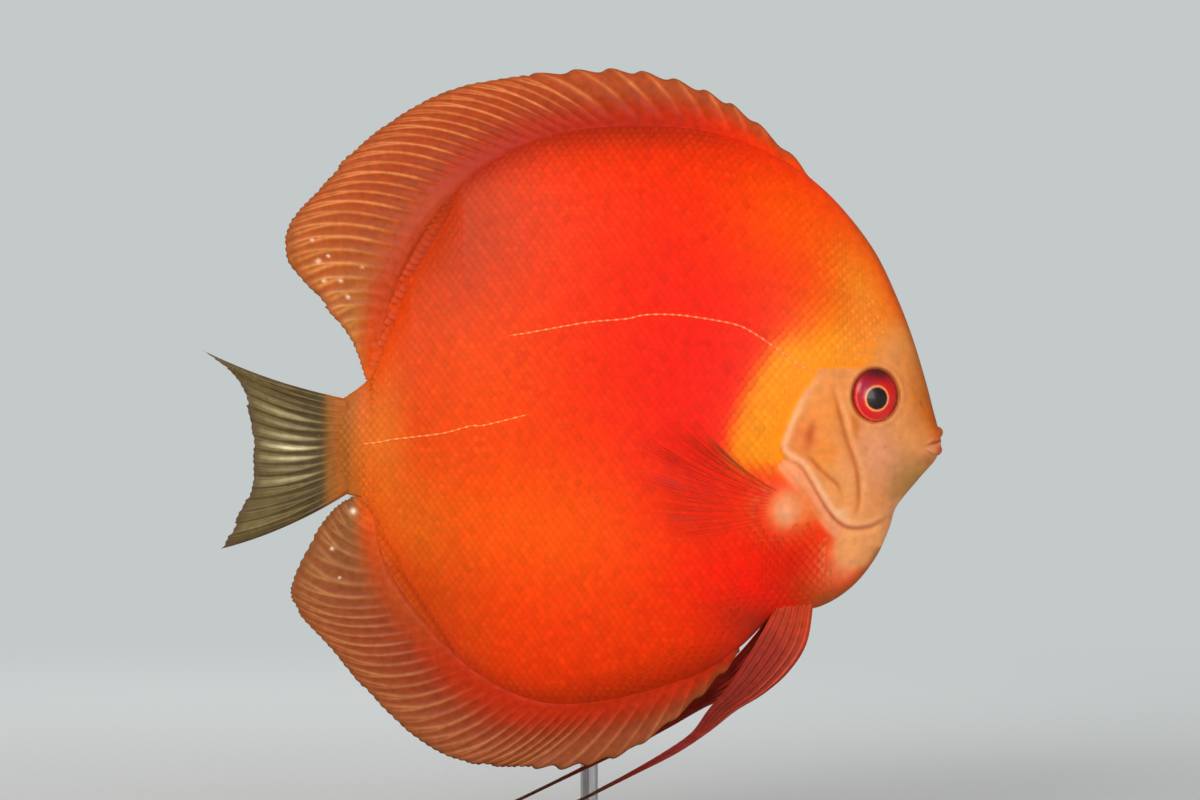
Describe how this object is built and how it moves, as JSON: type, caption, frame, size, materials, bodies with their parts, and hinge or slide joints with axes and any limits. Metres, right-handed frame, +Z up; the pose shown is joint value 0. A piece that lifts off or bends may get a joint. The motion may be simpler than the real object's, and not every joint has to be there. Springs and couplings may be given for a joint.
{
  "type": "discus fish model",
  "caption": "Life-size model of a disc-shaped aquarium fish with tall fins and trailing belly fins, held above a flat base by one bent rod.",
  "frame": {"origin": "centre of the overall box, on the underside of the stand's base", "axes": "+X towards the snout, +Y towards the fish's left side, +Z up"},
  "size_m": [0.1671, 0.07, 0.1793],
  "materials": {
    "body_skin": "scaled fish skin, orange red, moist sheen",
    "face_skin": "smooth fish skin, peach and orange, moist sheen",
    "eye": "glossy red iris with a gold ring and a black pupil",
    "red_fin": "thin ribbed fin, red at the root and tan at the edge",
    "tail_fin": "thin ribbed fin, olive with golden streaks",
    "base_paint": "fine matt black paint",
    "rod_steel": "brushed stainless steel"
  },
  "bodies": {
    "root": {"head": "face_skin", "gill_cover_left": "face_skin", "gill_cover_right": "face_skin", "eye_left": "eye", "eye_right": "eye", "trunk": "body_skin", "tail_stalk": "body_skin", "dorsal_fin": "red_fin", "anal_fin": "red_fin", "caudal_fin": "tail_fin", "pectoral_fin_left": "red_fin", "pectoral_fin_right": "red_fin", "pelvic_fin_left": "red_fin", "pelvic_fin_right": "red_fin", "stand_base": "base_paint", "stand_rod": "rod_steel"}
  },
  "joints": []
}
